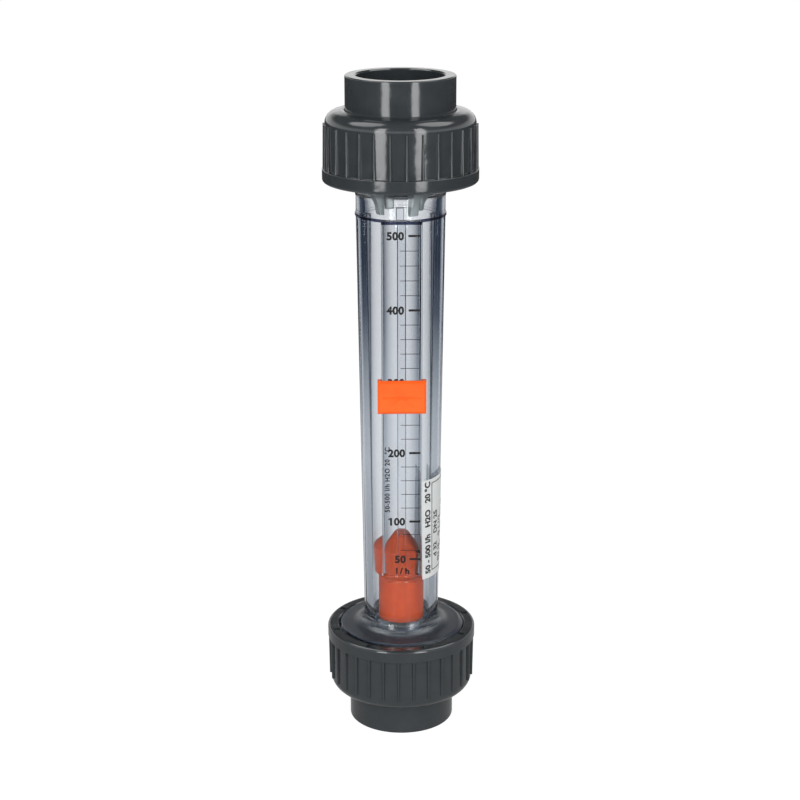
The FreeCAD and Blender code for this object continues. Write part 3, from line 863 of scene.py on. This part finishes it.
# %% Nut: body and ridges
NUT_Z = 12.4
NUT_LENGTH = 25.9
NUT_MOUTH = NUT_Z + NUT_LENGTH
NUT_HOLE_R = 20.3
NUT_FACE_R = 21.4
NUT_PANEL_R = 27.3
NUT_BAND_R = 28.45
NUT_BAND = 5.0
NUT_BAND_Z = NUT_MOUTH - NUT_BAND
NUT_BORE_R = 24.1
NUT_LIP = 3.6
SHOULDER_ROUND = 4.2
SHOULDER_DEG = 10
SHOULDER_Z = NUT_Z + (NUT_PANEL_R - NUT_FACE_R) * math.tan(math.radians(SHOULDER_DEG))
RIDGE_COUNT = 30
RIDGE_HEIGHT = 0.95
RIDGE_WIDTHS = (1.6, 1.0)       # at the panel and at the tip
RIDGE_ROOT = 0.6                # how far it reaches into the panel
RIDGE_ROUND = 0.42
RIDGE_END = 0.55                # width of its end by the shoulder, as a share
RIDGE_END_DROP = 0.25
RIDGE_TURN_DEG = -3.35
RIDGE_GAP = 0.4                 # from the shoulder's rounding to the ridge
RIDGE_Z = SHOULDER_Z + SHOULDER_ROUND * math.tan(math.radians(45 - SHOULDER_DEG / 2)) + RIDGE_GAP

nut = spun(drawn("lower_union_nut_moulded", [
    (NUT_HOLE_R, NUT_Z, 0.2),
    (NUT_FACE_R, NUT_Z, 0.4),
    (NUT_PANEL_R, SHOULDER_Z, SHOULDER_ROUND),
    (NUT_PANEL_R, NUT_BAND_Z, 0.25),
    (NUT_BAND_R, NUT_BAND_Z, 0.35),
    (NUT_BAND_R, NUT_MOUTH, 1.2),
    (NUT_BORE_R + LEAD_IN, NUT_MOUTH, 0.15),
    (NUT_BORE_R, NUT_MOUTH - LEAD_IN, 0.15),
    (NUT_BORE_R, NUT_Z + NUT_LIP, 0.3),
    (NUT_HOLE_R, NUT_Z + NUT_LIP, 0.2),
], steps=6), ROUND_PIECE_STEPS)

root_r = NUT_PANEL_R - RIDGE_ROOT
tip_r = NUT_PANEL_R + RIDGE_HEIGHT
ridge_top = NUT_BAND_Z + 1.0
ridge = block(((root_r + tip_r) / 2, 0, (RIDGE_Z + ridge_top) / 2),
              (tip_r - root_r, RIDGE_WIDTHS[0], ridge_top - RIDGE_Z))


def along_tip(edge):
    """True for the ridge's two long outer edges."""
    ends = [ridge.data.vertices[i].co for i in edge.vertices]
    return min(end.x for end in ends) > (tip_r - 0.01) * MM and abs(ends[0].y - ends[1].y) < 1e-6


pick(ridge, "FACE", lambda f: f.normal.x > 0.9)
bpy.ops.transform.resize(value=(1, RIDGE_WIDTHS[1] / RIDGE_WIDTHS[0], 1))
pick(ridge, "EDGE", along_tip)
bpy.ops.mesh.bevel(offset=RIDGE_ROUND * MM, segments=4)
pick(ridge, "FACE", lambda f: f.normal.z < -0.9)
bpy.ops.transform.resize(value=(1, RIDGE_END, 1))
bpy.ops.transform.translate(value=(-RIDGE_END_DROP * MM, 0, 0))
close_edit()
combine(nut, around(ridge, RIDGE_COUNT, RIDGE_TURN_DEG - 90), "UNION")
report(nut)

# %% Nut: pits and inner thread
PIT_COUNT = 8
PIT_SIZE = (2.3, 1.8, 1.6)
PIT_R = 25.95
PIT_TURN_DEG = 19.5
NUT_CREST_R = 22.6
NUT_CREST = 0.34                # width of the crest of the nut's thread
NUT_THREAD_TURNS = 7

pit = block((PIT_R, 0, NUT_MOUTH), PIT_SIZE)
combine(nut, around(pit, PIT_COUNT, RIDGE_TURN_DEG - 90 + PIT_TURN_DEG), "DIFFERENCE")

groove_z = TUBE_Z - 3 * PITCH + FLAT / 2
root_r = NUT_BORE_R + OVERLAP
reach = NUT_CREST / 2 + (root_r - NUT_CREST_R) * FLANK_SLOPE
inner_thread = helix("nut_thread", [
    (NUT_CREST_R, groove_z - NUT_CREST / 2),
    (root_r, groove_z - reach),
    (root_r, groove_z + reach),
    (NUT_CREST_R, groove_z + NUT_CREST / 2),
], NUT_THREAD_TURNS, THREAD_STEPS, True)
edit_all(inner_thread)
bpy.ops.mesh.fill_holes(sides=0)
close_edit(outwards=True)
combine(nut, inner_thread, "UNION")
smooth(report(nut))
upper_nut = turned_over(nut, "upper_union_nut_moulded")

# %% [markdown]
# ## Float
# A turned form again, but its section is open, because it ends on the axis. The stem is slimmer than the
# head, and the thin edge at the top of the head is what is read against the scale.

# %% Float
FLOAT_Z = 41.2
FLOAT_STEM_R = 8.7
FLOAT_R = 10.6

float_piece = spun(drawn("float_moulded", [
    (0, FLOAT_Z + 1.0),
    (4.0, FLOAT_Z + 1.0, 0.5),
    (5.0, FLOAT_Z, 0.4),
    (FLOAT_STEM_R, FLOAT_Z, 1.2),
    (FLOAT_STEM_R, FLOAT_Z + 18.3, 0.3),
    (FLOAT_R - 0.5, FLOAT_Z + 20.0, 0.4),
    (FLOAT_R, FLOAT_Z + 29.8, 0.2),
    (FLOAT_R, FLOAT_Z + 30.3, 0.2),
    (7.4, FLOAT_Z + 32.6, 2.0),
    (4.4, FLOAT_Z + 35.1, 2.0),
    (1.2, FLOAT_Z + 35.5, 1.0),
    (0, FLOAT_Z + 35.5),
], closed=False, steps=6), ROUND_PIECE_STEPS)
smooth(report(float_piece))

# %% [markdown]
# ## Float stops
# Each stop is a ring in its seat with four blades that reach into the bore. A blade is drawn from the side,
# extruded to its thickness and given rounded edges by a Bevel modifier before it joins the ring.

# %% Stops
SEAT_PLAY = 0.1
BLADE_COUNT = 4
BLADE_THICKNESS = 3.4
BLADE_INSET = 0.05              # inside the ring's two faces
BLADE_EDGE = 0.3                # width of the rounded edges
BLADE_TURN_DEG = 30.0
NOSE_TAPER = 0.21


def float_stop(name, seat_r, inner_r, blade_r, play, nose, turn_deg):
    """A stop at the lower end: ring and blades with tapered noses."""
    base = TUBE_Z + SEAT_PLAY
    outer_r = seat_r - SEAT_PLAY
    ring = spun(drawn(name, [
        (inner_r, base, 0.2), (outer_r, base, 0.2),
        (outer_r, LOWER_SEAT_Z, 0.2), (inner_r, LOWER_SEAT_Z, 0.2)], steps=3), ROUND_PIECE_STEPS)
    root = (inner_r + outer_r) / 2
    for i in range(BLADE_COUNT):
        blade = drawn("blade", [
            (blade_r, base + BLADE_INSET), (root, base + BLADE_INSET), (root, LOWER_SEAT_Z - BLADE_INSET),
            (inner_r - play, LOWER_SEAT_Z - BLADE_INSET),
            (inner_r - play - NOSE_TAPER * nose, LOWER_SEAT_Z + nose, 0.4),
            (blade_r, LOWER_SEAT_Z + nose, 0.4)], steps=4)
        extruded(blade, Vector((0, BLADE_THICKNESS * MM, 0)))
        place_mesh(blade, moved(0, -BLADE_THICKNESS / 2, 0))
        apply_modifier(blade, "BEVEL", width=BLADE_EDGE * MM, segments=2, limit_method="ANGLE",
                       angle_limit=math.radians(50))
        place_mesh(blade, turned(turn_deg + 360 / BLADE_COUNT * i))
        combine(ring, blade, "UNION")
    return smooth(report(ring))


lower_stop = float_stop("lower_stop_moulded", LOWER_SEAT_R, bore_r(LOWER_SEAT_Z),
                        blade_r=6.0, play=0.6, nose=4.2, turn_deg=BLADE_TURN_DEG)
stop_below = float_stop("stop_below", UPPER_SEAT_R, bore_r(UPPER_SEAT_Z),
                        blade_r=7.5, play=1.4, nose=12.7, turn_deg=-BLADE_TURN_DEG)
upper_stop = turned_over(stop_below, "upper_stop_moulded")
bpy.data.objects.remove(stop_below)

# %% [markdown]
# ## O-rings
# The seals are round cord that the unions have pressed flat, so the section is a flat oval.

# %% O-rings
RING_R = (15.74, 19.81)
RING_ROUND = 1.36

lower_o_ring = spun(drawn("lower_o_ring_rubber", [
    (RING_R[0], TUBE_Z, RING_ROUND),
    (RING_R[1], TUBE_Z, RING_ROUND),
    (RING_R[1], TUBE_Z + GROOVE_DEPTH, RING_ROUND),
    (RING_R[0], TUBE_Z + GROOVE_DEPTH, RING_ROUND),
], steps=8), ROUND_PIECE_STEPS)
smooth(report(lower_o_ring))
upper_o_ring = turned_over(lower_o_ring, "upper_o_ring_rubber")

# %% [markdown]
# ## Setpoint slider
# The slider's level section is a plate with two claws that grip behind the rail's lip. It is extruded along
# the lean, the front is bevelled all round, and a roof-shaped line and a shallow facet are added to its face.

# %% Slider
SLIDER_Z = 128.9
SLIDER_HEIGHT = 12.6
SLIDER_HALF = 8.9
SLIDER_PLATE = 1.55
SLIDER_PLAY = 0.1
CLAW = 0.8
SLIDER_BEVEL = 0.9              # round the front
SLIDER_EDGE = 0.12              # all other edges
LINE_LENGTH = 14.0
LINE_HALF = 0.7                 # half the width of the reading line
LINE_PROUD = 0.35
FACET = (6.0, 4.4)              # half the width and the height of the shallow facet

front = rail_front(SLIDER_Z)
plate = front - SLIDER_PLAY - SLIDER_PLATE
inner = RAIL_WIDTH / 2 + SLIDER_PLAY
tip = RAIL_WIDTH / 2 - RAIL_UNDERCUT + SLIDER_PLAY
behind = front + RAIL_LIP + SLIDER_PLAY
right = [
    (SLIDER_HALF, plate), (SLIDER_HALF, behind + CLAW, 0.35), (tip, behind + CLAW, 0.2),
    (tip, behind, 0.2), (inner, behind), (inner, front - SLIDER_PLAY)]
left = [(-corner[0],) + corner[1:] for corner in reversed(right)]
slider = drawn("setpoint_slider_moulded", right + left, place=level, steps=3)
place_mesh(slider, moved(0, 0, SLIDER_Z))
extruded(slider, leaning(SLIDER_Z, SLIDER_Z + SLIDER_HEIGHT))
pick(slider, "FACE", lambda f: f.normal.y < -0.9 and abs(f.center.x) < MM and f.area > 1e-4)
bpy.ops.mesh.region_to_loop()
bpy.ops.mesh.bevel(offset=SLIDER_BEVEL * MM, segments=1, offset_type="OFFSET")
close_edit()
apply_modifier(slider, "BEVEL", width=SLIDER_EDGE * MM, segments=2, limit_method="ANGLE",
               angle_limit=math.radians(28))

mid_y = plate - TAPER * SLIDER_HEIGHT / 2
mid_z = SLIDER_Z + SLIDER_HEIGHT / 2
line = drawn("reading_line", [
    (mid_y + LINE_PROUD, mid_z - LINE_HALF), (mid_y - LINE_PROUD, mid_z, 0.12),
    (mid_y + LINE_PROUD, mid_z + LINE_HALF)],
    place=lambda a, b: Vector((-LINE_LENGTH / 2, a, b)) * MM, steps=2)
extruded(line, Vector((LINE_LENGTH * MM, 0, 0)))
combine(slider, line, "UNION")
foot = mid_y + TAPER * FACET[1]
facet = drawn("facet", [(-FACET[0], mid_z - FACET[1]), (FACET[0], mid_z - FACET[1]), (0, mid_z)],
              place=lambda a, b: Vector((a, foot if b < mid_z else mid_y - 0.3, b)) * MM)
extruded(facet, Vector((0, 0.6 * MM, 0)))
combine(slider, facet, "UNION")
smooth(report(slider), 20)

# %% [markdown]
# ## Printed scale
# The print lies on the rail's front face. It is set out flat, with text objects for the numbers and thin
# boards for the ticks, and then tilted onto the leaning face. The flow marks are not evenly spaced: the
# lowest ones are further apart, as the float's lift asks.

# %% Scale: layout
INK = 0.02                      # the ink reaches this far into and out of the face
DIGIT_HEIGHT = 2.85
DIGIT_DROP = 0.2                # the numbers sit a touch below their ticks
NUMBERS_RIGHT = {50: 1.35, 100: 1.1, 200: 1.1, 300: 0.95, 400: 0.75, 500: 0.75}
SCALE_Z = 86.2                  # height of the mark for 100
SMALL_TICK = (-0.3, 6.7, 0.22)  # left end, right end, thickness
LARGE_TICK = (2.75, 6.95, 0.82)
CAPITAL = 0.72                  # height of a capital letter over the font's size
PRINT_TILT = 0.0037             # the marks drift to the left by this for each millimetre of height


def mark_z(flow):
    """Height of a flow mark in litres per hour."""
    up = flow - 100
    if up < 0:
        return SCALE_Z + 0.2307 * up - 0.001467 * up * up
    return SCALE_Z + 0.2712 * up + 0.000004 * up * up


def board(corners):
    """A flat piece of ink through corners (x, z), standing in the plane y = 0."""
    obj = drawn("ink", corners, place=lambda a, b: Vector((a, -INK, b)) * MM)
    return extruded(obj, Vector((0, 2 * INK * MM, 0)))


def bar(left_x, right_x, z, thickness, drift=0.0):
    """A straight level line of ink, moved to the left by drift."""
    low, high = z - thickness / 2, z + thickness / 2
    left_x, right_x = left_x - drift, right_x - drift
    return board([(left_x, low), (right_x, low), (right_x, high), (left_x, high)])


def text(words, height, x, z, align="LEFT", bold=0.0, turn_deg=0.0, spacing=1.0):
    """Words as a flat mesh of ink: capital height in millimetres, placed at x and z in the plane y = 0."""
    bpy.ops.object.select_all(action="DESELECT")
    bpy.ops.object.text_add(location=(0, 0, 0))
    obj = bpy.context.object
    obj.data.body = words
    obj.data.size = height * MM / CAPITAL
    obj.data.align_x = align
    obj.data.align_y = "CENTER"
    obj.data.offset = bold * MM
    obj.data.space_character = spacing
    obj.data.extrude = INK * MM
    obj.data.resolution_u = 4
    bpy.ops.object.convert(target="MESH")
    obj = bpy.context.object
    place_mesh(obj, Matrix.Translation(Vector((x, 0, z)) * MM) @ turned(-turn_deg, "Y") @ turned(90, "X"))
    return obj


def tick(flow, left_x, right_x, thickness):
    """The line of a flow mark."""
    z = mark_z(flow)
    return bar(left_x, right_x, z, thickness, PRINT_TILT * (z - SCALE_Z))


inks = []
for flow, right_x in NUMBERS_RIGHT.items():
    inks.append(tick(flow, *LARGE_TICK))
    inks.append(text(str(flow), DIGIT_HEIGHT, right_x, mark_z(flow) - DIGIT_DROP, "RIGHT", 0.18,
                     spacing=1.06))
flag_x = min(v.co.x for v in inks[3].data.vertices) / MM
flag_z = max(v.co.z for v in inks[3].data.vertices) / MM
inks.append(board([(flag_x - 0.62, flag_z - 0.95), (flag_x + 0.1, flag_z - 0.6), (flag_x + 0.1, flag_z),
                   (flag_x - 0.62, flag_z - 0.45)]))    # longer flag for the 1 of 100
for flow in range(60, 500, 20):
    if flow % 100:
        inks.append(tick(flow, *SMALL_TICK))
inks.append(text("l / h", 2.35, 0.2, 66.1, "CENTER", 0.14))
inks.append(board([(4.7, 74.0), (6.9, 73.1), (6.9, 74.9)]))     # small arrow
for words, z in (("50-500 l/h H2O 20", 89.9), ("°C", 112.9)):
    inks.append(text(words, 1.75, -5.35, z, "LEFT", 0.07, 90.0, spacing=1.12))
scale_print = joined(inks)
scale_print.name = "scale_print"
lean = math.atan(TAPER)
base = Vector((0, rail_front(RAIL_LIP_Z), RAIL_LIP_Z)) * MM
place_mesh(scale_print, Matrix.Translation(base) @ Matrix.Rotation(lean, 4, "X") @ moved(0, 0, -RAIL_LIP_Z))
report(scale_print)

# %% [markdown]
# ## Sticker
# The sticker is cut flat as a fine grid and rolled round the tube's cone, vertex by vertex, a film of glue
# off the wall. Then it gets its thickness. Its print is set out flat in the same way and rolled onto it.

# %% Sticker: cut flat
STICKER_SIZE = (23.4, 39.8)
STICKER_Z = 60.7
STICKER_TURN_DEG = 32.4
STICKER_LEAN_DEG = 1.3          # it was put on by hand
FILM = 0.15
GLUE = 0.1
sticker_mid = (STICKER_SIZE[0] / 2, STICKER_Z + STICKER_SIZE[1] / 2)


def flat_grid(name, width, height, steps):
    """A finely divided flat sheet standing in the plane y = 0, from x = 0 and centred in height."""
    bpy.ops.object.select_all(action="DESELECT")
    bpy.ops.mesh.primitive_grid_add(x_subdivisions=steps[0], y_subdivisions=steps[1], size=1.0)
    obj = bpy.context.object
    obj.name = name
    place_mesh(obj, moved(width / 2, 0, 0) @ turned(90, "X")
               @ Matrix.Diagonal((width * MM, height * MM, 1, 1)))
    return obj


sticker = flat_grid("type_sticker", *STICKER_SIZE, (48, 60))
print("sticker cut", STICKER_SIZE)

# %% Sticker: roll it round the cone


def rolled(obj, off):
    """Wraps a flat piece round the tube's cone at a distance off the wall, in millimetres."""
    radius = tube_r(sticker_mid[1])
    corner = Vector((0, 0, -STICKER_SIZE[1] / 2)) * MM
    place_mesh(obj, Matrix.Translation(corner) @ turned(-STICKER_LEAN_DEG, "Y") @ Matrix.Translation(-corner))
    for vertex in obj.data.vertices:
        x, z = vertex.co.x / MM, vertex.co.z / MM + sticker_mid[1]
        angle = math.radians(STICKER_TURN_DEG - 90) + x / radius
        r = tube_r(z) + off - vertex.co.y / MM
        vertex.co = Vector((math.cos(angle) * r, math.sin(angle) * r, z)) * MM
    obj.data.update()
    return obj


rolled(sticker, GLUE)
apply_modifier(sticker, "SOLIDIFY", thickness=FILM * MM, offset=1.0)
smooth(report(sticker))

STICKER_TEXT = [                # words, height, distance from the sticker's left edge, start, boldness
    ("50 - 500 l/h   H2O   20 °C", 2.5, 2.9, -18.2, 0.14),
    ("d 32    DN 25", 2.4, 7.3, -12.5, 0.1),
    ("PN 10    G 1 1/2", 2.0, 10.6, -15.5, 0.08),
    ("DN 25   d 32   PN 10", 2.0, 13.6, -15.5, 0.08),
    ("l/h   50   100   200   300   400   500", 1.6, 16.6, -15.5, 0.06),
]
FRAME_LINE = 0.34

lines = [bar(4.8, 21.8, z, FRAME_LINE) for z in (18.2, -17.2)]
for x in (4.8, 21.6):
    lines.append(board([(x, -17.3), (x + FRAME_LINE, -17.3), (x + FRAME_LINE, 18.3), (x, 18.3)]))
for words, size, x, start, bold in STICKER_TEXT:
    lines.append(text(words, size, x, start, "LEFT", bold, 90.0))
sticker_print = joined(lines)
sticker_print.name = "sticker_print"
apply_modifier(sticker_print, "TRIANGULATE")
edit_all(sticker_print)
for i in range(1, int(STICKER_SIZE[0])):
    bpy.ops.mesh.bisect(plane_co=(i * MM, 0, 0), plane_no=(1, 0, 0))
    bpy.ops.mesh.select_all(action="SELECT")
close_edit()
rolled(sticker_print, GLUE + FILM)
report(sticker_print)

# %% [markdown]
# ## Dress and ride
# Each piece gets its material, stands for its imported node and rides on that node's body, so that it moves
# with the joints: the float rises, the slider slides, and each nut unscrews and draws its connector off.

# %% Materials, bodies and slots
dressed = [
    (tube, clear_pvc, "tube", "measuring_tube", "clear_tube"),
    (float_piece, float_orange, "float", "float", "float_orange"),
    (lower_stop, stop_plastic, "tube", "lower_stop", "stop_plastic"),
    (upper_stop, stop_plastic, "tube", "upper_stop", "stop_plastic"),
    (lower_o_ring, ring_rubber, "tube", "lower_o_ring", "o_ring_rubber"),
    (upper_o_ring, ring_rubber, "tube", "upper_o_ring", "o_ring_rubber"),
    (lower_connector, grey_pvc, "lower_end", "lower_connector", "grey_pvc"),
    (upper_connector, grey_pvc, "upper_end", "upper_connector", "grey_pvc"),
    (nut, grey_pvc, "lower_nut", "lower_union_nut", "grey_pvc"),
    (upper_nut, grey_pvc, "upper_nut", "upper_union_nut", "grey_pvc"),
    (slider, slider_orange, "setpoint", "setpoint_slider", "slider_orange"),
    (sticker, sticker_film, "tube", "label", "label_white"),
    (scale_print, scale_ink, "tube", None, None),
    (sticker_print, scale_ink, "tube", None, None),
]
for piece, material, body_name, node_name, slot_name in dressed:
    piece.data.materials.clear()
    piece.data.materials.append(material)
    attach(piece, body_name)
    if node_name:
        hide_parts(node_name)
print(len(dressed), "pieces ride")
